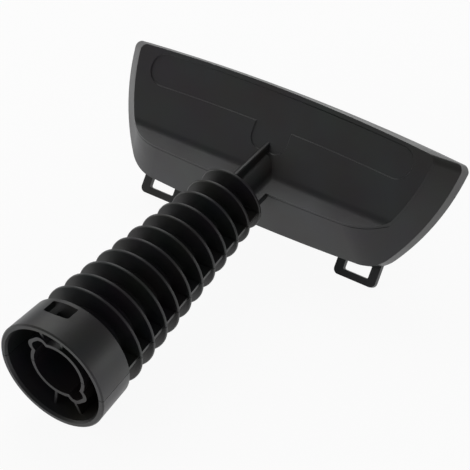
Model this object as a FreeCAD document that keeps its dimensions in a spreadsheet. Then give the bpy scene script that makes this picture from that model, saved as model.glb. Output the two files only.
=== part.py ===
import FreeCAD, Part
import Sketcher
import math
import os

from FreeCAD import Placement, Rotation, Vector

# Fabric brush for a steam cleaner: a finned grip with a keyed socket carries a wide steam head.
# Two mouldings, upper and lower, meet on a parting plane along the stem; a front plate closes the head.
# Tool frame: origin at the centre of the socket's mouth, +Y along the stem towards the head, +Z up.
# Head frame: x along the head, h up the panel, depth below the panel's plane.

doc = FreeCAD.newDocument("FabricBrush")

# Driving dimensions, in millimetres and degrees
SIZES = [
    ("collar_radius", 25.0),
    ("collar_rear_radius", 23.85),
    ("collar_length", 18.6),
    ("collar_wall", 2.7),
    ("collar_chamfer", 0.6),
    ("bulkhead_wall", 1.9),
    ("bore_radius", 11.5),
    ("socket_wall", 1.5),
    ("socket_recess", 3.8),
    ("bore_depth", 29.0),
    ("key_reach", 14.5),
    ("key_width", 7.7),
    ("key_angle", 130.0),
    ("key_corner", 2.6),
    ("rib_wall", 1.2),
    ("rib_setback", 0.8),
    ("rib_angle_one", 77.0),
    ("rib_angle_two", 111.0),
    ("window_angle", 6.2),
    ("window_width", 12.4),
    ("window_length", 6.3),
    ("window_bulge", 0.9),
    ("window_left_corner", 0.8),
    ("window_right_corner", 1.2),
    ("window_lift", 1.5),
    ("core_radius", 15.0),
    ("core_wall", 2.3),
    ("neck_radius", 6.5),
    ("neck_fillet", 2.5),
    ("neck_start", 118.0),
    ("fin_count", 11),
    ("fin_pitch", 9.22),
    ("fin_start", 27.2),
    ("fin_radius", 23.3),
    ("fin_end_radius", 14.9),
    ("fin_rim", 1.25),
    ("fin_root", 2.0),
    ("web_inset", 1.0),
    ("web_wall", 1.4),
    ("parting_height", -0.5),
    ("seam_gap", 0.25),
    ("cover_gap", 0.04),
    ("flange_half_width", 10.75),
    ("ledge_height", 0.5),
    ("flange_wall", 1.7),
    ("ridge_top", 10.4),
    ("ridge_width", 1.9),
    ("ridge_start", 123.0),
    ("panel_angle", 47.7),
    ("panel_distance", 138.4),
    ("panel_height", 36.2),
    ("cover_edge", 0.8),
    ("shell_wall", 2.2),
    ("skirt_depth", 9.5),
    ("skirt_half_width", 82.7),
    ("skirt_side_radius", 92.0),
    ("skirt_low", 21.5),
    ("skirt_low_rise", 1.8),
    ("top_fall", 3.1),
    ("end_slope", 0.92),
    ("flank_slope", 0.9345),
    ("low_corner_radius", 16.0),
    ("top_corner_radius", 3.2),
    ("panel_fillet", 6.0),
    ("hump_rise", 18.0),
    ("pill_inset", 17.2),
    ("pill_top_margin", 1.9),
    ("pill_low", 20.0),
    ("pill_raise", 0.5),
    ("tab_half_width", 9.0),
    ("tab_low", 9.3),
    ("tab_corner", 5.5),
    ("rim_depth", 7.5),
    ("rim_round", 0.5),
    ("plate_gap", 0.25),
    ("plate_wall", 3.0),
    ("sole_wall", 2.4),
    ("sole_edge", 0.8),
    ("loop_inset", 32.6),
    ("loop_width", 20.2),
    ("loop_side_bar", 4.0),
    ("loop_low_bar", 3.0),
    ("loop_low", 28.0),
    ("loop_wall", 2.2),
    ("loop_corner", 2.4),
    ("hole_corner", 0.8),
    ("steam_hole_radius", 1.6),
    ("steam_hole_count", 9),
    ("steam_row_inset", 34.7),
    ("steam_row_height", 4.0),
    ("steam_row_gap", 8.0),
    ("strip_width", 7.0),
    ("strip_depth", 1.6),
    ("strip_clearance", 0.15),
    ("upper_strip_height", 27.0),
    ("upper_strip_inset", 20.7),
    ("lower_strip_height", -11.0),
    ("lower_strip_inset", 32.7),
    ("tuft_radius", 1.2),
    ("tuft_length", 6.5),
    ("tuft_pitch", 4.0),
    ("tuft_row_gap", 3.2),
    ("tube_radius", 3.9),
    ("tube_bore", 2.7),
    ("tube_end", 147.0),
    ("plug_length", 5.0),
    ("plug_clearance", 0.2),
    ("plug_mouth", 8.0),
    ("seal_gap", 0.4),
    ("seal_height", 2.0),
    ("seal_bore", 8.5),
    ("gasket_width", 1.2),
    ("gasket_height", 1.3),
    ("gasket_inset", 0.9),
    ("boss_radius", 3.4),
    ("boss_inset", 22.7),
    ("boss_high", 12.0),
    ("boss_low_x", 30.0),
    ("boss_low", -2.0),
    ("screw_radius", 1.5),
    ("screw_head_radius", 2.9),
    ("screw_head_height", 1.8),
    ("screw_length", 12.6),
    ("screw_clearance", 0.2),
]

sheet = doc.addObject("Spreadsheet::Sheet", "Sizes")
for row, (alias, number) in enumerate(SIZES, start=1):
    sheet.set("A%d" % row, alias)
    sheet.set("B%d" % row, str(number))
    sheet.setAlias("B%d" % row, alias)
doc.recompute()


def size(alias):
    """Read one driving dimension from the sheet."""
    return float(sheet.get(alias))


X_AXIS = Vector(1, 0, 0)
Y_AXIS = Vector(0, 1, 0)
Z_AXIS = Vector(0, 0, 1)
FAR = 400.0

panel_angle = math.radians(size("panel_angle"))
panel_up = Vector(0, math.cos(panel_angle), math.sin(panel_angle))
panel_out = Vector(0, -math.sin(panel_angle), math.cos(panel_angle))
panel_root = Vector(0, size("panel_distance"), 0)
base_depth = size("skirt_depth")
sole_depth = base_depth + size("rim_depth")
face_depth = sole_depth + size("loop_wall")


def head_placement(depth):
    """Places flat work drawn in x and h at this depth below the panel; its +Z points out of the panel."""
    return Placement(panel_root - panel_out * depth, Rotation(X_AXIS, size("panel_angle")))


def in_head(shape, depth):
    """The same shape moved from flat drawing to its place in the head."""
    moved = shape.copy()
    moved.Placement = head_placement(depth).multiply(moved.Placement)
    return moved


def arc_through(first, middle, last):
    return Part.Arc(Vector(*first), Vector(*middle), Vector(*last)).toShape()


def line(first, last):
    return Part.LineSegment(Vector(*first), Vector(*last)).toShape()


def rounded_face(edges, corners):
    """Flat face inside the edges, with each listed corner point rounded to its radius."""
    block = Part.Face(Part.Wire(edges)).extrude(Z_AXIS)
    for point, radius in corners:
        upright = [e for e in block.Edges if all(
            math.hypot(v.X - point[0], v.Y - point[1]) < 1e-4 for v in e.Vertexes)]
        block = block.makeFillet(radius, upright)
    flats = [f for f in block.Faces if abs(f.CenterOfMass.z) < 1e-6]
    return flats[0]


def stem_radius(y):
    """Radius of the cone that carries the fins."""
    start = size("collar_length")
    share = (y - start) / (size("neck_start") - start)
    return size("core_radius") + (size("neck_radius") - size("core_radius")) * share


def turned(points):
    """Solid of revolution about the stem's axis from (radius, y) points."""
    loop = [Vector(r, y, 0) for r, y in points]
    loop.append(loop[0])
    face = Part.Face(Part.makePolygon(loop))
    return face.revolve(Vector(0, 0, 0), Y_AXIS, 360)


# Stem: collar, finned core and neck


def collar_shape():
    """Tapered collar with chamfered mouth, closed at its rear by a bulkhead."""
    outer = size("collar_radius")
    rear = size("collar_rear_radius")
    wall = size("collar_wall")
    length = size("collar_length")
    chamfer = size("collar_chamfer")
    floor = length - size("bulkhead_wall")
    return turned([
        (outer - wall + chamfer, 0),
        (outer - chamfer, 0),
        (outer, chamfer),
        (rear, length - chamfer / 2),
        (rear - chamfer / 2, length),
        (size("bore_radius"), length),
        (size("bore_radius"), floor),
        (rear - wall, floor),
        (outer - wall, chamfer * 2),
    ])


def core_shape():
    """Conical core and plain neck, solid here and bored later."""
    start = size("collar_length") - size("bulkhead_wall")
    neck_end = size("panel_distance") + size("neck_radius") / math.tan(panel_angle) + size("shell_wall")
    return turned([
        (0, start),
        (stem_radius(size("collar_length")), start),
        (stem_radius(size("collar_length")), size("collar_length")),
        (size("neck_radius"), size("neck_start")),
        (size("neck_radius"), neck_end),
        (0, neck_end),
    ])


def fin_radius(index):
    last = size("fin_count") - 1
    return size("fin_radius") + (size("fin_end_radius") - size("fin_radius")) * index / last


def fin_shape(index):
    """One thin disc, thicker at its root, with a softened rim."""
    middle = size("fin_start") + size("fin_pitch") * index
    radius = fin_radius(index)
    root = stem_radius(middle) - 1.0
    rim = size("fin_rim") / 2
    foot = size("fin_root") / 2
    soft = rim / 2
    return turned([
        (root, middle - foot),
        (radius - soft, middle - rim),
        (radius, middle - rim + soft),
        (radius, middle + rim - soft),
        (radius - soft, middle + rim),
        (root, middle + foot),
    ])


def web_shape(side):
    """Flat web of the lower moulding, at the parting plane, that ties the fins together on one side."""
    start = size("collar_length")
    first = size("fin_radius") - size("web_inset")
    last = size("fin_end_radius") - size("web_inset")
    end = size("fin_start") + size("fin_pitch") * (size("fin_count") - 1)
    high = size("parting_height") - size("seam_gap") / 2
    low = high - size("web_wall")
    inner = size("neck_radius") - size("core_wall")
    corners = [(side * inner, start), (side * first, start), (side * last, end), (side * inner, end)]
    loop = [Vector(x, y, low) for x, y in corners]
    loop.append(loop[0])
    return Part.Face(Part.makePolygon(loop)).extrude(Vector(0, 0, high - low))


def key_block(width, reach, corner, start, end):
    """Straight bar across the bore that makes both keyways at once."""
    bar = Part.makeBox(2 * reach, end - start, width, Vector(-reach, start, -width / 2))
    long_edges = [e for e in bar.Edges if abs(e.tangentAt(e.FirstParameter).y) > 0.99]
    bar = bar.makeFillet(corner, long_edges)
    bar.rotate(Vector(0, 0, 0), Y_AXIS, -size("key_angle"))
    return bar


def socket_shape():
    """Keyed socket tube with its four ribs, solid here and bored later."""
    start = size("socket_recess")
    end = size("collar_length") - size("bulkhead_wall") / 2
    wall = size("socket_wall")
    outer = Part.makeCylinder(size("bore_radius") + wall, end - start, Vector(0, start, 0), Y_AXIS)
    keys = key_block(size("key_width") + 2 * wall, size("key_reach") + wall,
                     size("key_corner") + wall / 2, start, end)
    shape = outer.fuse(keys)
    rib_start = start + size("rib_setback")
    reach = size("collar_rear_radius") - size("collar_wall") / 2
    for angle in (size("rib_angle_one"), size("rib_angle_two")):
        rib = Part.makeBox(2 * reach, end - rib_start, size("rib_wall"),
                           Vector(-reach, rib_start, -size("rib_wall") / 2))
        rib.rotate(Vector(0, 0, 0), Y_AXIS, -angle)
        shape = shape.fuse(rib)
    return shape


def bore_shape():
    """Everything that is hollow along the stem: keyways, socket bore and the cone round the steam tube."""
    start = size("socket_recess") - 1.0
    bore = size("bore_radius")
    wall = size("core_wall")
    depth = size("bore_depth")
    end = size("tube_end")
    cone = turned([
        (0, start),
        (bore, start),
        (bore, depth),
        (stem_radius(depth) - wall, depth),
        (size("neck_radius") - wall, size("neck_start")),
        (size("neck_radius") - wall, end),
        (0, end),
    ])
    keys = key_block(size("key_width"), size("key_reach"), size("key_corner"), start,
                     size("collar_length") - size("bulkhead_wall"))
    return cone.fuse(keys)


def window_shape():
    """Cutter for the lock window in the collar's top, its front edge slightly bulged."""
    rear = size("collar_length") - size("bulkhead_wall")
    front = rear - size("window_length")
    half = size("window_width") / 2
    edges = [
        line((-half, rear, 0), (-half, front, 0)),
        arc_through((-half, front, 0), (0, front - size("window_bulge"), 0), (half, front, 0)),
        line((half, front, 0), (half, rear, 0)),
        line((half, rear, 0), (-half, rear, 0)),
    ]
    corners = [((-half, front), size("window_left_corner")), ((half, front), size("window_right_corner"))]
    cutter = rounded_face(edges, corners)
    cutter = cutter.extrude(Vector(0, 0, size("collar_radius")))
    cutter.translate(Vector(0, 0, size("key_reach") + size("socket_wall") + size("window_lift")))
    cutter.rotate(Vector(0, 0, 0), Y_AXIS, -size("window_angle"))
    return cutter


# Head: skirt, panel, ledge


def head_outline(rise, inset=0.0):
    """Outline of the head at this height above the skirt's edge, drawn in x and h."""
    fall = size("top_fall")
    top = size("panel_height") - inset
    half = size("skirt_half_width")
    shift = size("end_slope") * rise + inset
    low = -size("skirt_low") + size("flank_slope") * rise + inset
    low_side = low + size("skirt_low_rise")
    radius = size("skirt_side_radius")
    centre_h = size("panel_height") - fall + math.sqrt(radius ** 2 - (radius - 0.3) ** 2)
    centre_x = half - radius

    def side(h):
        return centre_x - shift + math.sqrt(radius ** 2 - (h - centre_h) ** 2)

    high_side = size("panel_height") - fall - inset
    middle = (high_side + low_side) / 2
    right_top = (side(high_side), high_side, 0)
    right_low = (side(low_side), low_side, 0)
    left_top = (-right_top[0], high_side, 0)
    left_low = (-right_low[0], low_side, 0)
    edges = [
        arc_through(left_top, (0, top, 0), right_top),
        arc_through(right_top, (side(middle), middle, 0), right_low),
        arc_through(right_low, (0, low, 0), left_low),
        arc_through(left_low, (-side(middle), middle, 0), left_top),
    ]
    low_round = size("low_corner_radius") - inset
    top_round = max(size("top_corner_radius") - inset, 0.4)
    corners = [(left_top, top_round), (right_top, top_round), (right_low, low_round), (left_low, low_round)]
    return rounded_face(edges, corners)


def wedge_above(height, depth):
    """Everything above both the ledge's plane and the panel's plane."""
    apex_h = (height + depth * math.cos(panel_angle)) / math.sin(panel_angle)
    apex = panel_root + panel_up * apex_h - panel_out * depth
    far_up = apex + panel_up * FAR
    far_back = apex - Y_AXIS * FAR
    loop = [apex, far_up, far_up + Vector(0, -FAR, FAR), far_back + Vector(0, 0, FAR), far_back, apex]
    loop = [p - X_AXIS * FAR / 2 for p in loop]
    return Part.Face(Part.makePolygon(loop)).extrude(X_AXIS * FAR)


def head_taper(inset, below):
    """Tapered head before its panel and ledge are cut; with an inset it fits inside the walls."""
    rise = size("hump_rise")
    low_wire = in_head(head_outline(0, inset), base_depth).OuterWire
    high_wire = in_head(head_outline(rise, inset), base_depth - rise).OuterWire
    block = Part.makeLoft([low_wire, high_wire], True, True)
    if below > 0:
        block = block.fuse(slab(head_outline(0, inset), base_depth, base_depth + below))
    return block


def slab(face, shallow, deep):
    """Flat face drawn in x and h, made solid between two depths below the panel."""
    return in_head(face.extrude(Vector(0, 0, deep - shallow)), deep)


def pill_shape():
    """Raised outline on the panel: a long pill with a tab round the ridge's root."""
    fall = size("top_fall")
    half = size("skirt_half_width")
    sink = 0.5
    raise_by = size("pill_raise")

    def edge_fall(x):
        return fall * (x / half) ** 2

    top = size("panel_height") - size("pill_top_margin")
    low = size("pill_low")
    wide = half - size("pill_inset")
    top_side = top - edge_fall(wide)
    low_side = low - edge_fall(wide)
    edges = [
        arc_through((-wide, top_side, 0), (0, top, 0), (wide, top_side, 0)),
        line((wide, top_side, 0), (wide, low_side, 0)),
        arc_through((wide, low_side, 0), (0, low, 0), (-wide, low_side, 0)),
        line((-wide, low_side, 0), (-wide, top_side, 0)),
    ]
    round_by = (top_side - low_side) / 2 - 0.2
    ends = [((x, h), round_by) for x in (-wide, wide) for h in (top_side, low_side)]
    pill = rounded_face(edges, ends).extrude(Vector(0, 0, sink + raise_by))
    reach = size("tab_half_width")
    bottom = size("tab_low")
    tab_edges = [
        line((-reach, low + 2, 0), (reach, low + 2, 0)),
        line((reach, low + 2, 0), (reach, bottom, 0)),
        line((reach, bottom, 0), (-reach, bottom, 0)),
        line((-reach, bottom, 0), (-reach, low + 2, 0)),
    ]
    tab_corners = [((-reach, bottom), size("tab_corner")), ((reach, bottom), size("tab_corner"))]
    tab = rounded_face(tab_edges, tab_corners).extrude(Vector(0, 0, sink + raise_by))
    both = pill.fuse(tab).removeSplitter()
    top_edges = [e for e in both.Edges if e.BoundBox.ZMin > sink + raise_by - 1e-4]
    both = both.makeChamfer(raise_by * 0.8, top_edges)
    return in_head(both, sink)


def ridge_shape():
    """Upright rib on top of the neck that runs into the panel."""
    width = size("ridge_width")
    start = size("ridge_start")
    end = size("panel_distance") + size("ridge_top") + 2
    rib = Part.makeBox(width, end - start, size("ridge_top") - 2, Vector(-width / 2, start, 2))
    crown = [e for e in rib.Edges if e.BoundBox.ZMin > size("ridge_top") - 1e-4
             and abs(e.tangentAt(e.FirstParameter).y) > 0.9]
    rib = rib.makeFillet(width * 0.4, crown)
    nose = [e for e in rib.Edges if e.BoundBox.YMax < start + 1e-4
            and e.BoundBox.ZMin > size("ridge_top") - 1.0 and abs(e.tangentAt(e.FirstParameter).x) > 0.9]
    return rib.makeFillet(width * 0.4, nose) if nose else rib


def flange_shape():
    """Flat flange on both sides of the neck, level with the ledge."""
    half = size("flange_half_width")
    start = size("neck_start")
    end = size("panel_distance") - 2
    low = size("parting_height") - size("seam_gap") - size("flange_wall")
    return Part.makeBox(2 * half, end - start, size("ledge_height") - low, Vector(-half, start, low))


def neck_root_shape():
    """Hollow curves that run the round neck into its flat flange on both sides."""
    radius = size("neck_radius")
    blend = size("neck_fillet")
    floor = size("ledge_height")
    centre_x = math.sqrt((radius + blend) ** 2 - (floor + blend) ** 2)
    touch = Vector(centre_x, 0, floor + blend) * (radius / (radius + blend))
    centre = Vector(centre_x, 0, floor + blend)
    inward = (Vector(centre_x, 0, floor) - centre + touch - centre).normalize()
    middle = centre + inward * blend
    start = size("neck_start")
    end = size("panel_distance") + size("shell_wall")
    edges = [
        line((0, 0, floor), (centre_x, 0, floor)),
        arc_through((centre_x, 0, floor), (middle.x, 0, middle.z), (touch.x, 0, touch.z)),
        line((touch.x, 0, touch.z), (0, 0, touch.z)),
        line((0, 0, touch.z), (0, 0, floor)),
    ]
    right = Part.Face(Part.Wire(edges)).extrude(Y_AXIS * (end - start))
    right.translate(Y_AXIS * start)
    left = right.mirror(Vector(0, 0, 0), X_AXIS)
    return right.fuse(left)


def boss_places():
    """Screw places in x and h."""
    high_x, high = size("skirt_half_width") - size("boss_inset"), size("boss_high")
    low_x, low = size("boss_low_x"), size("boss_low")
    return [(-high_x, high), (high_x, high), (-low_x, low), (low_x, low)]


def round_bar(x, h, radius, shallow, deep):
    """Round bar square to the panel between two depths."""
    return in_head(Part.makeCylinder(radius, deep - shallow, Vector(x, h, 0)), deep)


def grip_shape():
    """Collar, keyed socket, core, fins, webs, flange and ridge as one moulding before it is bored."""
    body = core_shape()
    for index in range(int(size("fin_count"))):
        body = body.fuse(fin_shape(index))
    for side in (-1, 1):
        body = body.fuse(web_shape(side))
    body = body.fuse(collar_shape()).fuse(socket_shape())
    return body.fuse(flange_shape()).fuse(ridge_shape())


def both_mouldings():
    """Grip and head as one hollow body, before the parting cut."""
    wall = size("shell_wall")
    outside = head_taper(0.0, 0.0).cut(wedge_above(size("ledge_height"), 0.0))
    corner_y = size("panel_distance") + size("ledge_height") / math.tan(panel_angle)
    creases = [e for e in outside.Edges if all(
        abs(v.Y - corner_y) < 1e-3 and abs(v.Z - size("ledge_height")) < 1e-3 for v in e.Vertexes)]
    outside = outside.makeFillet(size("panel_fillet"), creases)
    hollow = head_taper(wall, 1.0).cut(wedge_above(size("ledge_height") - wall, wall))
    reach = size("screw_length") - size("rim_depth") + size("screw_clearance") * 3
    for x, h in boss_places():
        hollow = hollow.cut(round_bar(x, h, size("boss_radius"), -size("hump_rise"), base_depth))
    body = grip_shape().fuse(outside).fuse(pill_shape()).fuse(neck_root_shape())
    body = body.cut(hollow).cut(bore_shape()).cut(window_shape())
    for x, h in boss_places():
        body = body.cut(round_bar(x, h, size("screw_radius"), base_depth - reach, base_depth + 1.0))
    return body


def upper_space(seam, cover):
    """Space of the upper moulding: above the parting plane, lapped over the skirt and down inside it."""
    lap = wedge_above(size("parting_height") - seam, size("cover_edge") + cover)
    reach = size("hump_rise")
    inside = head_taper(size("shell_wall") + size("cover_gap") - cover, 2.0)
    behind = Vector(-FAR / 2, size("panel_distance") - FAR - reach, -FAR)
    inside = inside.cut(Part.makeBox(FAR, FAR, FAR, behind))
    return lap.fuse(inside)


def front_plate_shape():
    """Front plate: a rim that continues the skirt, a sole with steam holes and two strap loops."""
    top = base_depth + size("plate_gap")
    rim = slab(head_outline(0, 0), top, sole_depth)
    skyline = [e for e in rim.Edges if all(abs(depth_of(v.Point) - top) < 1e-4 for v in e.Vertexes)]
    rim = rim.makeFillet(size("rim_round"), skyline)
    sole = slab(head_outline(0, size("sole_edge")), sole_depth, face_depth)
    plate = rim.fuse(sole)
    for side in (-1, 1):
        plate = plate.fuse(loop_shape(side))
    inner = size("plate_wall")
    plate = plate.cut(slab(head_outline(0, inner), top - 1.0, face_depth - size("sole_wall")))
    for x, h in boss_places():
        plate = plate.fuse(round_bar(x, h, size("boss_radius"), base_depth, sole_depth))
    plate = plate.cut(gasket_ring(0.0, top - 1.0))
    return plate.cut(Part.makeCompound(plate_holes()))


def depth_of(point):
    """Depth of a point below the panel's plane."""
    return -(point - panel_root).dot(panel_out)


def loop_shape(side):
    """Flat strap loop that stands out past the plate's lower edge."""
    half = size("loop_width") / 2
    centre = side * (size("skirt_half_width") - size("loop_inset"))
    low = -size("loop_low")
    high = -size("skirt_low") + size("loop_low_bar") * 2.5
    left, right = centre - half, centre + half
    corner = size("loop_corner")
    outline = polygon_face([(left, low), (right, low), (right, high), (left, high)],
                           [((left, low), corner), ((right, low), corner)])
    bar = size("loop_side_bar")
    hole_low = low + size("loop_low_bar")
    inner = size("hole_corner")
    hole = polygon_face([(left + bar, hole_low), (right - bar, hole_low),
                         (right - bar, high + 1), (left + bar, high + 1)],
                        [((left + bar, hole_low), inner), ((right - bar, hole_low), inner)])
    return slab(outline.cut(hole).Faces[0], sole_depth, face_depth)


def polygon_face(points, corners):
    """Flat face with straight sides and listed corners rounded."""
    closed = points + points[:1]
    edges = [line((a[0], a[1], 0), (b[0], b[1], 0)) for a, b in zip(closed, closed[1:])]
    return rounded_face(edges, corners)


def plate_holes():
    """Steam holes, strip channels and screw holes of the front plate."""
    cuts = []
    count = int(size("steam_hole_count"))
    reach = size("skirt_half_width") - size("steam_row_inset")
    for row in range(2):
        h = size("steam_row_height") + row * size("steam_row_gap")
        for index in range(count):
            x = reach * (2 * index / (count - 1) - 1)
            cuts.append(round_bar(x, h, size("steam_hole_radius"), base_depth, face_depth + 1))
    for h, half in strip_places():
        cuts.append(strip_block(h, half, size("strip_clearance"), 1.0))
    clear = size("screw_clearance")
    for x, h in boss_places():
        cuts.append(round_bar(x, h, size("screw_radius") + clear, base_depth - 1, face_depth + 1))
        cuts.append(round_bar(x, h, size("screw_head_radius") + clear, sole_depth, face_depth + 1))
    return cuts


def strip_places():
    """Height and half length of the two bristle strips."""
    half = size("skirt_half_width")
    return [
        (size("upper_strip_height"), half - size("upper_strip_inset")),
        (size("lower_strip_height"), half - size("lower_strip_inset")),
    ]


def strip_block(h, half, grow, proud):
    """Long strip with round ends let into the sole; grown a little it is its channel."""
    radius = size("strip_width") / 2 + grow
    edges = [
        line((-half, h - radius, 0), (half, h - radius, 0)),
        arc_through((half, h - radius, 0), (half + radius, h, 0), (half, h + radius, 0)),
        line((half, h + radius, 0), (-half, h + radius, 0)),
        arc_through((-half, h + radius, 0), (-half - radius, h, 0), (-half, h - radius, 0)),
    ]
    face = Part.Face(Part.Wire(edges))
    return slab(face, face_depth - size("strip_depth"), face_depth + proud)


def tuft_block(h, half):
    """Tufts of one strip in two staggered rows, each a round bundle."""
    tufts = []
    pitch = size("tuft_pitch")
    for row, offset in ((-0.5, 0.0), (0.5, 0.5)):
        count = int((half - pitch * offset) / pitch)
        for index in range(-count, count + 1):
            x = (index + offset) * pitch
            if abs(x) <= half:
                tufts.append(round_bar(x, h + row * size("tuft_row_gap"), size("tuft_radius"),
                                       face_depth, face_depth + size("tuft_length")))
    return Part.makeCompound(tufts)


def gasket_ring(play, shallow):
    """Closed band under the skirt's wall; without play it is the groove in the rim."""
    outer = head_outline(0, size("gasket_inset") + play)
    inner = head_outline(0, size("gasket_inset") + size("gasket_width") - play)
    return slab(outer.cut(inner).Faces[0], shallow, base_depth + size("gasket_height"))


def turned_body(label, points):
    """Body turned about the stem's axis; each point is a radius and a y, both formulas of sizes."""
    body = doc.addObject("PartDesign::Body", label)
    sketch = body.newObject("Sketcher::SketchObject", label + "_section")
    count = len(points)
    rough = [Vector(10 + index, 10 * index, 0) for index in range(count)]
    for index in range(count):
        sketch.addGeometry(Part.LineSegment(rough[index], rough[(index + 1) % count]), False)
    for index in range(count):
        sketch.addConstraint(Sketcher.Constraint("Coincident", index, 2, (index + 1) % count, 1))
    for index, (radius, y) in enumerate(points):
        across = ("DistanceX", radius, rough[index].x)
        along = ("DistanceY", y, rough[index].y)
        for kind, formula, start in (across, along):
            name = "%s_%d" % (kind[-1].lower(), index)
            row = sketch.addConstraint(Sketcher.Constraint(kind, -1, 1, index, 1, start))
            sketch.renameConstraint(row, name)
            sketch.setExpression("Constraints." + name, formula)
    turned_round = body.newObject("PartDesign::Revolution", label + "_turned")
    turned_round.Profile = sketch
    turned_round.ReferenceAxis = (sketch, ["V_Axis"])
    turned_round.Angle = 360
    return body


def cone_formula(y):
    """Formula for the stem cone's radius at a y that is itself a formula."""
    return ("(Sizes.core_radius + (Sizes.neck_radius - Sizes.core_radius) * (%s - Sizes.collar_length)"
            " / (Sizes.neck_start - Sizes.collar_length))" % y)


SEAL_FRONT = "(Sizes.bore_depth + Sizes.seal_gap)"
PLUG_FRONT = "(Sizes.bore_depth + Sizes.seal_gap + Sizes.seal_height)"
PLUG_BACK = "(Sizes.bore_depth + Sizes.seal_gap + Sizes.seal_height + Sizes.plug_length)"
PLAY = " - Sizes.core_wall - Sizes.plug_clearance"


def steam_tube():
    """Steam tube with a conical plug that closes the socket's inner end."""
    return turned_body("steam_tube", [
        ("Sizes.plug_mouth", PLUG_FRONT),
        (cone_formula(PLUG_FRONT) + PLAY, PLUG_FRONT),
        (cone_formula(PLUG_BACK) + PLAY, PLUG_BACK),
        ("Sizes.tube_radius", PLUG_BACK),
        ("Sizes.tube_radius", "Sizes.tube_end"),
        ("Sizes.tube_bore", "Sizes.tube_end"),
        ("Sizes.tube_bore", PLUG_BACK + " - 1"),
    ])


def socket_seal():
    """Flat sealing ring on the plug's face."""
    return turned_body("socket_seal", [
        ("Sizes.seal_bore", SEAL_FRONT),
        (cone_formula(PLUG_FRONT) + PLAY, SEAL_FRONT),
        (cone_formula(PLUG_FRONT) + PLAY, PLUG_FRONT),
        ("Sizes.seal_bore", PLUG_FRONT),
    ])


def bound_cylinder(label, radius, height, place):
    """Cylinder with its radius and height bound to formulas, at this place."""
    item = doc.addObject("Part::Cylinder", label)
    item.setExpression("Radius", radius)
    item.setExpression("Height", height)
    item.Placement = place
    return item


def joined(kind, label, items, link):
    """Fuse or group of bound pieces."""
    item = doc.addObject(kind, label)
    setattr(item, link, items)
    return item


def plate_screws():
    """Four pan-head screws driven from the sole into the upper moulding's bosses."""
    screws = []
    for number, (x, h) in enumerate(boss_places(), start=1):
        name = "screw_%d_" % number
        spot = Placement(Vector(x, h, 0), Rotation())
        head = bound_cylinder(name + "head", "Sizes.screw_head_radius", "Sizes.screw_head_height",
                              head_placement(sole_depth + size("screw_head_height")).multiply(spot))
        shank = bound_cylinder(name + "shank", "Sizes.screw_radius", "Sizes.screw_length",
                               head_placement(sole_depth).multiply(spot))
        screws.append(joined("Part::MultiFuse", name + "whole", [head, shank], "Shapes"))
    return joined("Part::Compound", "plate_screws", screws, "Links")


def bristle_strip(label, h, inset):
    """Long strip with round ends let into the sole."""
    half = size("skirt_half_width") - size(inset)
    radius = size("strip_width") / 2
    length = "2 * (Sizes.skirt_half_width - Sizes.%s)" % inset
    floor = head_placement(face_depth)
    bar = doc.addObject("Part::Box", label + "_bar")
    bar.setExpression("Length", length)
    bar.setExpression("Width", "Sizes.strip_width")
    bar.setExpression("Height", "Sizes.strip_depth")
    bar.Placement = floor.multiply(Placement(Vector(-half, h - radius, 0), Rotation()))
    pieces = [bar]
    for side, x in (("left", -half), ("right", half)):
        spot = Placement(Vector(x, h, 0), Rotation())
        pieces.append(bound_cylinder(label + "_" + side, "Sizes.strip_width / 2", "Sizes.strip_depth",
                                     floor.multiply(spot)))
    strip = joined("Part::MultiFuse", label, pieces, "Shapes")
    strip.Refine = True
    return strip


tool_body = both_mouldings()
upper = tool_body.common(upper_space(0.0, 0.0))
lower = tool_body.cut(upper_space(size("seam_gap"), size("cover_gap")))

shapes = {
    "upper_shell": upper,
    "lower_shell": lower,
    "front_plate": front_plate_shape(),
    "plate_gasket": gasket_ring(0.0, base_depth),
}
for name, (h, half) in zip(("upper", "lower"), strip_places()):
    shapes[name + "_tufts"] = tuft_block(h, half)

pieces = []
for name, shape in shapes.items():
    piece = doc.addObject("Part::Feature", name)
    piece.Shape = shape
    piece.Placement = shape.Placement
    pieces.append(piece)
pieces += [
    steam_tube(),
    socket_seal(),
    plate_screws(),
    bristle_strip("upper_strip", size("upper_strip_height"), "upper_strip_inset"),
    bristle_strip("lower_strip", size("lower_strip_height"), "lower_strip_inset"),
]
doc.recompute()

# At rest the tool lies on the collar's lowest edge and on the two loops
collar_foot = Vector(0, size("collar_chamfer"), -size("collar_radius"))
loop_foot = panel_root - panel_up * size("loop_low") - panel_out * face_depth
tilt = math.degrees(math.atan2(collar_foot.z - loop_foot.z, loop_foot.y - collar_foot.y))
turn = Rotation(X_AXIS, tilt)
turned_all = Part.makeCompound([piece.Shape for piece in pieces])
turned_all.Placement = Placement(Vector(0, 0, 0), turn)
box = turned_all.optimalBoundingBox(False, False)
foot = turn.multVec(collar_foot)
rest = Placement(Vector(0, -(box.YMin + box.YMax) / 2, -foot.z), turn)

for piece in pieces:
    piece.Label = piece.Name
    piece.Placement = rest.multiply(piece.Placement)
doc.recompute()

for item in doc.Objects:
    if "Invalid" in item.State or "Error" in item.State:
        raise RuntimeError("failed: " + item.Label)

os.makedirs("parts", exist_ok=True)
for item in pieces:
    if item.Shape.isNull() or not item.Shape.isValid():
        raise RuntimeError("no valid shape: " + item.Label)
    item.Shape.exportStep("parts/%s.step" % item.Label)
    print(item.Label, len(item.Shape.Solids), round(item.Shape.Volume))
print("tilt", round(tilt, 3), "box", box)
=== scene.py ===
import math

import bmesh
import bpy
from mathutils import Matrix, Vector


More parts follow.
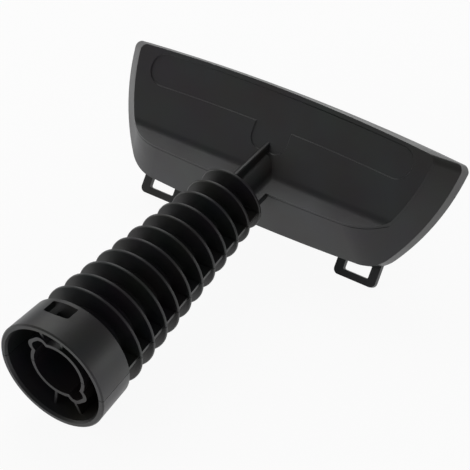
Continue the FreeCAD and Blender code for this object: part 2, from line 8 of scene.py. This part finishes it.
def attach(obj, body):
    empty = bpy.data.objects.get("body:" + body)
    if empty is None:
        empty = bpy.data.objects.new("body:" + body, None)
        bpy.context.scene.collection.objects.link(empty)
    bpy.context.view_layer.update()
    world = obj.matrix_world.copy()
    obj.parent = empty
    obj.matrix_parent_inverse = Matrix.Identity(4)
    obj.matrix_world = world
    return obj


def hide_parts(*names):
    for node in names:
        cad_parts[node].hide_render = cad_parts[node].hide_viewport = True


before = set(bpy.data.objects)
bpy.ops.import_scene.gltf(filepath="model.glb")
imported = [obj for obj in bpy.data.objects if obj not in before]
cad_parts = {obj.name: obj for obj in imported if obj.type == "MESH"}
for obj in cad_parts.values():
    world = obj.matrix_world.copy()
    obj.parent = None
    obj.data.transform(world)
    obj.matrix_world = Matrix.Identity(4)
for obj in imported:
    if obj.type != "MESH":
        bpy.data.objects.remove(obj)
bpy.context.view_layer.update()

# Fabric brush for a steam cleaner, in black moulded plastic, lying on a pale floor.
# Tool frame: +Y along the grip towards the head, +Z towards the panel, origin at the socket's mouth.

# Lengths here are in millimetres. Across and up are measured in the panel's plane, and depths below it.
# The panel, the strips, the tufts' spacing, the screws' places and the tilt at rest repeat the CAD source's.

MM = 0.001
TILT = math.radians(3.70885)
REST = Matrix.Translation((0.0, -87.6038 * MM, 24.9088 * MM)) @ Matrix.Rotation(TILT, 4, "X")
PANEL_ANGLE = math.radians(47.7)
PANEL_ROOT = Vector((0.0, 138.4, 0.0))
PANEL_UP = Vector((0.0, math.cos(PANEL_ANGLE), math.sin(PANEL_ANGLE)))
PANEL_OUT = Vector((0.0, -math.sin(PANEL_ANGLE), math.cos(PANEL_ANGLE)))
SOLE_DEPTH = 17.0
FACE_DEPTH = 19.2
HEAD_HALF_WIDTH = 82.7
TUFT_PITCH = 4.0
TUFT_ROW_GAP = 3.2
# Node, height up the panel, and how far the row ends short of the head's half width
STRIPS = (("upper_tufts", 27.0, 20.7), ("lower_tufts", -11.0, 32.7))
# Across and up the panel
SCREW_PLACES = [(-60.0, 12.0), (60.0, 12.0), (-30.0, -2.0), (30.0, -2.0)]
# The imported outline's corners stand off the panel by more than the first and less than the second, and lie
# further up it than the rounded crease with the ledge
OUTLINE_RISE = (0.02, 0.56)
OUTLINE_LOWEST = 6.0
# A moved face whose normal has a smaller cosine with the panel's is a side wall of the outline's step
LEVEL_FACE = 0.95
FILAMENTS_A_TUFT = 34
# Turn between neighbours in a spiral that fills a disc evenly, in radians
SPIRAL_TURN = 2.39996
# The photograph's side in pixels, and the focal length in pixels worked out from it
PHOTO_SIDE = 470.0
FOCAL_PIXELS = 2440.2
SENSOR = 36.0
# Vector sockets of a Map Range node, which share their names with its number sockets
FROM_MIN, FROM_MAX, TO_MIN, TO_MAX = 7, 8, 9, 10


# Camera


def make_camera():
    """Long-lens camera at the photograph's viewing angle."""
    across = Vector((0.8151, 0.5752, -0.0684))
    down = Vector((0.3474, -0.5799, -0.7369))
    ahead = Vector((-0.4636, 0.5769, -0.6725))
    place = Vector((471.7, -467.1, 663.7)) * MM
    turn = Matrix((across, -down, -ahead)).transposed().to_4x4()
    data = bpy.data.cameras.new("product_camera")
    data.sensor_width = SENSOR
    data.lens = SENSOR * FOCAL_PIXELS / PHOTO_SIDE
    data.clip_start = 0.05
    data.clip_end = 20.0
    camera = bpy.data.objects.new("product_camera", data)
    bpy.context.scene.collection.objects.link(camera)
    camera.matrix_world = REST @ Matrix.Translation(place) @ turn
    bpy.context.scene.camera = camera


# Materials


def new_material(name):
    material = bpy.data.materials.new(name)
    material.use_nodes = True
    nodes = material.node_tree.nodes
    shader = next(n for n in nodes if n.type == "BSDF_PRINCIPLED")
    return material, nodes, material.node_tree.links, shader


def moulded_plastic(name, dark, light, smooth, dull, grain, depth):
    """Moulded plastic: a fine eroded grain, and faint clouds from dark to light and from smooth to dull."""
    material, nodes, links, shader = new_material(name)
    place = nodes.new("ShaderNodeTexCoord")
    cloud = nodes.new("ShaderNodeTexNoise")
    cloud.inputs["Scale"].default_value = 45.0
    cloud.inputs["Detail"].default_value = 3.0
    tone = nodes.new("ShaderNodeMapRange")
    tone.data_type = "FLOAT_VECTOR"
    tone.inputs[FROM_MIN].default_value = (0.3, 0.3, 0.3)
    tone.inputs[FROM_MAX].default_value = (0.7, 0.7, 0.7)
    tone.inputs[TO_MIN].default_value = dark
    tone.inputs[TO_MAX].default_value = light
    links.new(place.outputs["Object"], cloud.inputs["Vector"])
    links.new(cloud.outputs["Color"], tone.inputs["Vector"])
    links.new(tone.outputs["Vector"], shader.inputs["Base Color"])
    gloss = nodes.new("ShaderNodeMapRange")
    gloss.inputs["From Min"].default_value = 0.3
    gloss.inputs["From Max"].default_value = 0.7
    gloss.inputs["To Min"].default_value = smooth
    gloss.inputs["To Max"].default_value = dull
    links.new(cloud.outputs["Fac"], gloss.inputs["Value"])
    links.new(gloss.outputs["Result"], shader.inputs["Roughness"])
    erosion = nodes.new("ShaderNodeTexNoise")
    erosion.inputs["Scale"].default_value = grain
    erosion.inputs["Detail"].default_value = 2.0
    links.new(place.outputs["Object"], erosion.inputs["Vector"])
    bump = nodes.new("ShaderNodeBump")
    bump.inputs["Strength"].default_value = 0.35
    bump.inputs["Distance"].default_value = depth
    links.new(erosion.outputs["Fac"], bump.inputs["Height"])
    links.new(bump.outputs["Normal"], shader.inputs["Normal"])
    shader.inputs["IOR"].default_value = 1.48
    return material


def soft_rubber():
    return moulded_plastic("black_rubber", dark=(0.012, 0.012, 0.012), light=(0.02, 0.02, 0.02),
                           smooth=0.6, dull=0.75, grain=900.0, depth=0.05 * MM)


def zinc_steel():
    """Zinc-coated steel whose gloss changes in fine spots."""
    material, nodes, links, shader = new_material("zinc_steel")
    place = nodes.new("ShaderNodeTexCoord")
    grain = nodes.new("ShaderNodeTexNoise")
    grain.inputs["Scale"].default_value = 1200.0
    links.new(place.outputs["Object"], grain.inputs["Vector"])
    gloss = nodes.new("ShaderNodeMapRange")
    gloss.inputs["To Min"].default_value = 0.25
    gloss.inputs["To Max"].default_value = 0.45
    links.new(grain.outputs["Fac"], gloss.inputs["Value"])
    links.new(gloss.outputs["Result"], shader.inputs["Roughness"])
    shader.inputs["Base Color"].default_value = (0.55, 0.56, 0.58, 1.0)
    shader.inputs["Metallic"].default_value = 1.0
    return material


def bristle_nylon():
    """Slightly shiny black nylon with faint clouds of tone along the strip."""
    return moulded_plastic("bristle_nylon", dark=(0.01, 0.01, 0.011), light=(0.03, 0.03, 0.03),
                           smooth=0.3, dull=0.45, grain=2500.0, depth=0.02 * MM)


def dress(node, material):
    """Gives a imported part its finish."""
    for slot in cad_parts[node].material_slots:
        slot.material = material


# Upper moulding


def make_upper_skin(material):
    """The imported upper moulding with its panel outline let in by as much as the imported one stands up.

    The photograph shows the outline let in. Moved corners are mirrored in the panel's plane, and the step's
    own faces get fresh normals.
    """
    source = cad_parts["upper_shell"]
    data = source.data.copy()
    data.name = "upper_shell_skin"
    normals = [normal.vector.copy() for normal in data.corner_normals]
    to_tool = REST.inverted()
    out = (REST.to_3x3() @ PANEL_OUT).normalized()
    moved = set()
    for corner in data.vertices:
        place = to_tool @ (source.matrix_world @ corner.co) / MM - PANEL_ROOT
        rise = place.dot(PANEL_OUT)
        if OUTLINE_RISE[0] < rise < OUTLINE_RISE[1] and place.dot(PANEL_UP) > OUTLINE_LOWEST:
            corner.co = corner.co - out * (2 * rise * MM)
            moved.add(corner.index)
    data.update()
    for face in data.polygons:
        if moved.intersection(face.vertices) and abs(face.normal.dot(out)) < LEVEL_FACE:
            for corner in face.loop_indices:
                normals[corner] = face.normal.copy()
    data.normals_split_custom_set(normals)
    data.materials.clear()
    data.materials.append(material)
    skin = bpy.data.objects.new("upper_shell_skin", data)
    skin.matrix_world = source.matrix_world
    bpy.context.scene.collection.objects.link(skin)
    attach(skin, "root")
    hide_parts("upper_shell")


# Bristles and screws: what repeats is laid out with geometry nodes


def strip_rows(h, half):
    """Tuft places of one strip in two staggered rows, in millimetres across and up the head."""
    places = []
    for row, offset in ((-0.5, 0.0), (0.5, 0.5)):
        count = int((half - TUFT_PITCH * offset) / TUFT_PITCH)
        for index in range(-count, count + 1):
            x = (index + offset) * TUFT_PITCH
            if abs(x) <= half:
                places.append((x, h + row * TUFT_ROW_GAP))
    return places


def point_object(name, places):
    """Loose points in the sole's own frame: across, down the panel, then out of the sole."""
    mesh = bpy.data.meshes.new(name)
    mesh.from_pydata([(x * MM, -h * MM, 0.0) for x, h in places], [], [])
    item = bpy.data.objects.new(name, mesh)
    bpy.context.scene.collection.objects.link(item)
    return item


def add_input(tree, name, kind, value):
    socket = tree.interface.new_socket(name=name, in_out="INPUT", socket_type=kind)
    socket.default_value = value
    return socket.identifier


def join(tree, source, target):
    tree.links.new(source, target)


def calculate(tree, operation, *values):
    """One arithmetic step; each value is a socket or a number."""
    node = tree.nodes.new("ShaderNodeMath")
    node.operation = operation
    for slot, value in enumerate(values):
        if isinstance(value, (int, float)):
            node.inputs[slot].default_value = value
        else:
            join(tree, value, node.inputs[slot])
    return node.outputs["Value"]


def random_vector(tree, spread, seed):
    node = tree.nodes.new("FunctionNodeRandomValue")
    node.data_type = "FLOAT_VECTOR"
    node.inputs["Min"].default_value = (-spread, -spread, 0.0)
    node.inputs["Max"].default_value = (spread, spread, 0.0)
    node.inputs["Seed"].default_value = seed
    return node.outputs["Value"]


def add_vectors(tree, first, second):
    node = tree.nodes.new("ShaderNodeVectorMath")
    node.operation = "ADD"
    join(tree, first, node.inputs[0])
    join(tree, second, node.inputs[1])
    return node.outputs["Vector"]


def stored(tree, geometry, name, vector):
    node = tree.nodes.new("GeometryNodeStoreNamedAttribute")
    node.data_type = "FLOAT_VECTOR"
    node.domain = "POINT"
    node.inputs["Name"].default_value = name
    join(tree, geometry, node.inputs["Geometry"])
    join(tree, vector, node.inputs["Value"])
    return node.outputs["Geometry"]


def named(tree, name):
    node = tree.nodes.new("GeometryNodeInputNamedAttribute")
    node.data_type = "FLOAT_VECTOR"
    node.inputs["Name"].default_value = name
    return node.outputs["Attribute"]


def bristle_tree():
    """Each point becomes a tuft: filaments packed in a spiral that splay, lean and differ in length."""
    tree = bpy.data.node_groups.new("bristle_tufts", "GeometryNodeTree")
    tree.interface.new_socket(name="Geometry", in_out="INPUT", socket_type="NodeSocketGeometry")
    tree.interface.new_socket(name="Geometry", in_out="OUTPUT", socket_type="NodeSocketGeometry")
    names = {
        "filaments": add_input(tree, "Filaments", "NodeSocketInt", FILAMENTS_A_TUFT),
        "bundle": add_input(tree, "Bundle Radius", "NodeSocketFloat", 0.001),
        "thick": add_input(tree, "Filament Radius", "NodeSocketFloat", 0.0001),
        "long": add_input(tree, "Filament Length", "NodeSocketFloat", 0.006),
        "splay": add_input(tree, "Splay", "NodeSocketFloat", 50.0),
        "material": tree.interface.new_socket(name="Material", in_out="INPUT",
                                              socket_type="NodeSocketMaterial").identifier,
    }
    given = tree.nodes.new("NodeGroupInput").outputs
    leaning = stored(tree, given["Geometry"], "tuft_lean", random_vector(tree, spread=0.04, seed=3))
    index = tree.nodes.new("GeometryNodeInputIndex").outputs["Index"]
    share = calculate(tree, "DIVIDE", calculate(tree, "ADD", index, 0.5), given["Filaments"])
    reach = calculate(tree, "MULTIPLY", calculate(tree, "SQRT", share), given["Bundle Radius"])
    angle = calculate(tree, "MULTIPLY", index, SPIRAL_TURN)
    spot = tree.nodes.new("ShaderNodeCombineXYZ")
    join(tree, calculate(tree, "MULTIPLY", reach, calculate(tree, "COSINE", angle)), spot.inputs["X"])
    join(tree, calculate(tree, "MULTIPLY", reach, calculate(tree, "SINE", angle)), spot.inputs["Y"])
    bundle = tree.nodes.new("GeometryNodePoints")
    join(tree, given["Filaments"], bundle.inputs["Count"])
    join(tree, spot.outputs["Vector"], bundle.inputs["Position"])
    outward = tree.nodes.new("ShaderNodeVectorMath")
    outward.operation = "SCALE"
    join(tree, spot.outputs["Vector"], outward.inputs[0])
    join(tree, given["Splay"], outward.inputs["Scale"])
    packed = stored(tree, bundle.outputs["Geometry"], "splay", outward.outputs["Vector"])
    tufts = tree.nodes.new("GeometryNodeInstanceOnPoints")
    join(tree, leaning, tufts.inputs["Points"])
    join(tree, packed, tufts.inputs["Instance"])
    spread = tree.nodes.new("GeometryNodeRealizeInstances")
    join(tree, tufts.outputs["Instances"], spread.inputs["Geometry"])
    upright = tree.nodes.new("FunctionNodeInputVector")
    upright.vector = (0.0, 0.0, 1.0)
    lean = add_vectors(tree, named(tree, "splay"), named(tree, "tuft_lean"))
    lean = add_vectors(tree, lean, random_vector(tree, spread=0.035, seed=11))
    lean = add_vectors(tree, lean, upright.outputs["Vector"])
    turn = tree.nodes.new("FunctionNodeAlignRotationToVector")
    turn.axis = "Z"
    join(tree, lean, turn.inputs["Vector"])
    cone = tree.nodes.new("GeometryNodeMeshCone")
    cone.inputs["Vertices"].default_value = 6
    cone.inputs["Side Segments"].default_value = 2
    join(tree, calculate(tree, "MULTIPLY", given["Filament Radius"], 0.75), cone.inputs["Radius Top"])
    join(tree, given["Filament Radius"], cone.inputs["Radius Bottom"])
    join(tree, given["Filament Length"], cone.inputs["Depth"])
    stretch = tree.nodes.new("FunctionNodeRandomValue")
    stretch.data_type = "FLOAT_VECTOR"
    stretch.inputs["Min"].default_value = (0.85, 0.85, 0.93)
    stretch.inputs["Max"].default_value = (1.0, 1.0, 1.0)
    stretch.inputs["Seed"].default_value = 5
    filaments = tree.nodes.new("GeometryNodeInstanceOnPoints")
    join(tree, spread.outputs["Geometry"], filaments.inputs["Points"])
    join(tree, cone.outputs["Mesh"], filaments.inputs["Instance"])
    join(tree, turn.outputs["Rotation"], filaments.inputs["Rotation"])
    join(tree, stretch.outputs["Value"], filaments.inputs["Scale"])
    finish_tree(tree, filaments.outputs["Instances"], given["Material"])
    return tree, names


def finish_tree(tree, instances, material):
    """Ends a tree with real geometry in its finish."""
    real = tree.nodes.new("GeometryNodeRealizeInstances")
    join(tree, instances, real.inputs["Geometry"])
    coat = tree.nodes.new("GeometryNodeSetMaterial")
    join(tree, real.outputs["Geometry"], coat.inputs["Geometry"])
    join(tree, material, coat.inputs["Material"])
    result = tree.nodes.new("NodeGroupOutput")
    join(tree, coat.outputs["Geometry"], result.inputs["Geometry"])


def grow(item, tree, values, depth):
    """Runs the item's points through the tree and leaves one plain mesh, in its place on the sole."""
    modifier = item.modifiers.new("layout", "NODES")
    modifier.node_group = tree
    for identifier, value in values.items():
        modifier[identifier] = value
    graph = bpy.context.evaluated_depsgraph_get()
    mesh = bpy.data.meshes.new_from_object(item.evaluated_get(graph))
    item.modifiers.remove(modifier)
    for attribute in [a.name for a in mesh.attributes if a.name in ("splay", "tuft_lean")]:
        mesh.attributes.remove(mesh.attributes[attribute])
    place = (PANEL_ROOT - PANEL_OUT * depth) * MM
    axes = Matrix((Vector((1, 0, 0)), -PANEL_UP, -PANEL_OUT)).transposed().to_4x4()
    mesh.transform(REST @ Matrix.Translation(place) @ axes)
    item.data = mesh


def make_bristles(material):
    tree, names = bristle_tree()
    for node, h, inset in STRIPS:
        item = point_object("bristles_of_" + node, strip_rows(h, HEAD_HALF_WIDTH - inset))
        grow(item, tree, {
            names["filaments"]: FILAMENTS_A_TUFT,
            names["bundle"]: 0.95 * MM,
            names["thick"]: 0.1 * MM,
            names["long"]: 6.45 * MM,
            names["splay"]: 55.0,
            names["material"]: material,
        }, FACE_DEPTH)
        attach(item, "root")
        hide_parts(node)


def screw_mesh(material):
    """Pan-head screw with a cross recess; rings stand for its thread. Its seat is at the origin."""
    head, height = 2.9, 1.8
    shank, length = 1.45, 12.5
    plain, groove = 0.8, shank * 0.72
    profile = [(0.0, height), (1.3, height - 0.04), (2.2, height - 0.28), (2.7, height - 0.75),
               (head, height - 1.25), (head, 0.12), (head - 0.12, 0.0), (shank, 0.0)]
    steps = 44
    for step in range(steps + 1):
        depth = plain + (length - 2 * plain) * step / steps
        profile.append((shank if step % 2 else groove, -depth))
    profile += [(shank * 0.5, -length + 0.3), (0.0, -length)]
    sides = 36
    mesh = bmesh.new()
    rings = []
    for radius, z in profile:
        if radius == 0.0:
            rings.append([mesh.verts.new((0, 0, z * MM))])
            continue
        ring = []
        for side in range(sides):
            turn = 2 * math.pi * side / sides
            ring.append(mesh.verts.new((radius * MM * math.cos(turn), radius * MM * math.sin(turn), z * MM)))
        rings.append(ring)
    for upper, lower in zip(rings, rings[1:]):
        for side in range(sides):
            after = (side + 1) % sides
            if len(upper) == 1:
                mesh.faces.new((upper[0], lower[side], lower[after]))
            elif len(lower) == 1:
                mesh.faces.new((upper[side], lower[0], upper[after]))
            else:
                mesh.faces.new((upper[side], lower[side], lower[after], upper[after]))
    bmesh.ops.recalc_face_normals(mesh, faces=mesh.faces)
    data = bpy.data.meshes.new("screw_blank")
    mesh.to_mesh(data)
    mesh.free()
    data.materials.append(material)
    blank = bpy.data.objects.new("screw_blank", data)
    bpy.context.scene.collection.objects.link(blank)
    cutter = recess_object(height)
    cut = blank.modifiers.new("recess", "BOOLEAN")
    cut.operation = "DIFFERENCE"
    cut.solver = "EXACT"
    cut.object = cutter
    cut.use_self = True
    graph = bpy.context.evaluated_depsgraph_get()
    finished = bpy.data.meshes.new_from_object(blank.evaluated_get(graph))
    bpy.data.objects.remove(blank)
    bpy.data.objects.remove(cutter)
    return finished


def recess_object(height):
    """Tapered cross that cuts the driver's recess."""
    mesh = bmesh.new()
    floor = height - 1.15
    for turn in (0.0, math.pi / 2):
        corners = []
        for z, reach, half in ((height + 0.3, 1.65, 0.36), (floor, 0.75, 0.24)):
            for x, y in ((-reach, -half), (reach, -half), (reach, half), (-reach, half)):
                across = x * math.cos(turn) - y * math.sin(turn)
                along = x * math.sin(turn) + y * math.cos(turn)
                corners.append(mesh.verts.new((across * MM, along * MM, z * MM)))
        top, low = corners[:4], corners[4:]
        mesh.faces.new(top)
        mesh.faces.new(low)
        for side in range(4):
            after = (side + 1) % 4
            mesh.faces.new((top[side], low[side], low[after], top[after]))
    bmesh.ops.recalc_face_normals(mesh, faces=mesh.faces)
    data = bpy.data.meshes.new("recess")
    mesh.to_mesh(data)
    mesh.free()
    item = bpy.data.objects.new("recess", data)
    bpy.context.scene.collection.objects.link(item)
    return item


def screw_tree():
    """Each point becomes one screw, turned by its own angle."""
    tree = bpy.data.node_groups.new("screw_layout", "GeometryNodeTree")
    tree.interface.new_socket(name="Geometry", in_out="INPUT", socket_type="NodeSocketGeometry")
    tree.interface.new_socket(name="Geometry", in_out="OUTPUT", socket_type="NodeSocketGeometry")
    names = {
        "screw": tree.interface.new_socket(name="Screw", in_out="INPUT",
                                           socket_type="NodeSocketObject").identifier,
        "material": tree.interface.new_socket(name="Material", in_out="INPUT",
                                              socket_type="NodeSocketMaterial").identifier,
    }
    given = tree.nodes.new("NodeGroupInput").outputs
    source = tree.nodes.new("GeometryNodeObjectInfo")
    join(tree, given["Screw"], source.inputs["Object"])
    angle = tree.nodes.new("FunctionNodeRandomValue")
    angle.data_type = "FLOAT_VECTOR"
    angle.inputs["Min"].default_value = (0.0, 0.0, 0.0)
    angle.inputs["Max"].default_value = (0.0, 0.0, 1.5)
    angle.inputs["Seed"].default_value = 2
    layout = tree.nodes.new("GeometryNodeInstanceOnPoints")
    join(tree, given["Geometry"], layout.inputs["Points"])
    join(tree, source.outputs["Geometry"], layout.inputs["Instance"])
    join(tree, angle.outputs["Value"], layout.inputs["Rotation"])
    finish_tree(tree, layout.outputs["Instances"], given["Material"])
    return tree, names


def make_screws(material):
    model = bpy.data.objects.new("screw_model", screw_mesh(material))
    bpy.context.scene.collection.objects.link(model)
    tree, names = screw_tree()
    item = point_object("plate_screw_set", SCREW_PLACES)
    grow(item, tree, {names["screw"]: model, names["material"]: material}, SOLE_DEPTH)
    bpy.data.objects.remove(model)
    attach(item, "root")
    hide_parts("plate_screws")


# Studio


def make_floor():
    """White table that keeps the object's shadow and runs out into the white background."""
    size = 3.0
    mesh = bpy.data.meshes.new("floor")
    corners = [(-size, -size, 0), (size, -size, 0), (size, size, 0), (-size, size, 0)]
    mesh.from_pydata(corners, [], [(0, 1, 2, 3)])
    floor = bpy.data.objects.new("floor", mesh)
    bpy.context.scene.collection.objects.link(floor)
    material, nodes, links, shader = new_material("white_table")
    shader.inputs["Base Color"].default_value = (0.85, 0.85, 0.85, 1.0)
    shader.inputs["Roughness"].default_value = 0.9
    glow, white_share = 1.03, 0.9
    white = nodes.new("ShaderNodeEmission")
    white.inputs["Strength"].default_value = glow
    paths = nodes.new("ShaderNodeLightPath")
    seen = nodes.new("ShaderNodeMath")
    seen.operation = "MAXIMUM"
    share = nodes.new("ShaderNodeMath")
    share.operation = "MULTIPLY"
    share.inputs[1].default_value = white_share
    blend = nodes.new("ShaderNodeMixShader")
    output = next(n for n in nodes if n.type == "OUTPUT_MATERIAL")
    links.new(paths.outputs["Is Camera Ray"], seen.inputs[0])
    links.new(paths.outputs["Is Glossy Ray"], seen.inputs[1])
    links.new(seen.outputs["Value"], share.inputs[0])
    links.new(share.outputs["Value"], blend.inputs["Fac"])
    links.new(shader.outputs["BSDF"], blend.inputs[1])
    links.new(white.outputs["Emission"], blend.inputs[2])
    links.new(blend.outputs["Shader"], output.inputs["Surface"])
    floor.data.materials.append(material)


def make_world():
    """White room for the camera; for the object a grey room, a little darker towards the ceiling."""
    world = bpy.data.worlds.new("studio")
    bpy.context.scene.world = world
    world.use_nodes = True
    nodes, links = world.node_tree.nodes, world.node_tree.links
    nodes.clear()
    place = nodes.new("ShaderNodeTexCoord")
    parts = nodes.new("ShaderNodeSeparateXYZ")
    ramp = nodes.new("ShaderNodeValToRGB")
    ramp.color_ramp.elements[0].position = 0.0
    ramp.color_ramp.elements[0].color = (0.3, 0.3, 0.3, 1.0)
    ramp.color_ramp.elements[1].position = 0.55
    ramp.color_ramp.elements[1].color = (0.2, 0.2, 0.2, 1.0)
    room = nodes.new("ShaderNodeBackground")
    room.inputs["Strength"].default_value = 1.1
    white = nodes.new("ShaderNodeBackground")
    white.inputs["Strength"].default_value = 1.0
    paths = nodes.new("ShaderNodeLightPath")
    blend = nodes.new("ShaderNodeMixShader")
    output = nodes.new("ShaderNodeOutputWorld")
    links.new(place.outputs["Generated"], parts.inputs["Vector"])
    links.new(parts.outputs["Z"], ramp.inputs["Fac"])
    links.new(ramp.outputs["Color"], room.inputs["Color"])
    links.new(paths.outputs["Is Camera Ray"], blend.inputs["Fac"])
    links.new(room.outputs["Background"], blend.inputs[1])
    links.new(white.outputs["Background"], blend.inputs[2])
    links.new(blend.outputs["Shader"], output.inputs["Surface"])


def soft_lamp(name, place, aim, wide, power):
    data = bpy.data.lights.new(name, "AREA")
    data.shape = "RECTANGLE"
    data.size, data.size_y = wide
    data.energy = power
    lamp = bpy.data.objects.new(name, data)
    bpy.context.scene.collection.objects.link(lamp)
    lamp.location = place
    lamp.rotation_euler = (Vector(aim) - Vector(place)).to_track_quat("-Z", "Y").to_euler()


make_camera()
shell_plastic = moulded_plastic("black_shell", dark=(0.016, 0.016, 0.017), light=(0.024, 0.024, 0.025),
                                smooth=0.36, dull=0.46, grain=1500.0, depth=0.04 * MM)
inner_plastic = moulded_plastic("inner_plastic", dark=(0.02, 0.02, 0.02), light=(0.03, 0.03, 0.03),
                                smooth=0.4, dull=0.5, grain=800.0, depth=0.03 * MM)
rubber = soft_rubber()
steel = zinc_steel()
nylon = bristle_nylon()
make_upper_skin(shell_plastic)
for node in ("lower_shell", "front_plate", "upper_strip", "lower_strip"):
    dress(node, shell_plastic)
dress("steam_tube", inner_plastic)
dress("plate_gasket", rubber)
dress("socket_seal", rubber)
make_screws(steel)
make_bristles(nylon)

make_floor()
make_world()
stem, rim_end = (0, 0, 0.03), (0.08, 0.07, 0.03)
soft_lamp("back_lamp", (-0.6, 0.75, 0.87), aim=stem, wide=(1.1, 0.8), power=4.8)
soft_lamp("front_lamp", (-0.75, -1.15, 0.85), aim=stem, wide=(1.0, 0.6), power=1.1)
soft_lamp("low_lamp", (-1.3, -0.2, 0.3), aim=stem, wide=(0.5, 0.8), power=3.0)
soft_lamp("edge_lamp", (0.9, 1.0, 0.12), aim=rim_end, wide=(0.7, 0.4), power=2.5)

bpy.context.scene.view_settings.view_transform = "Standard"
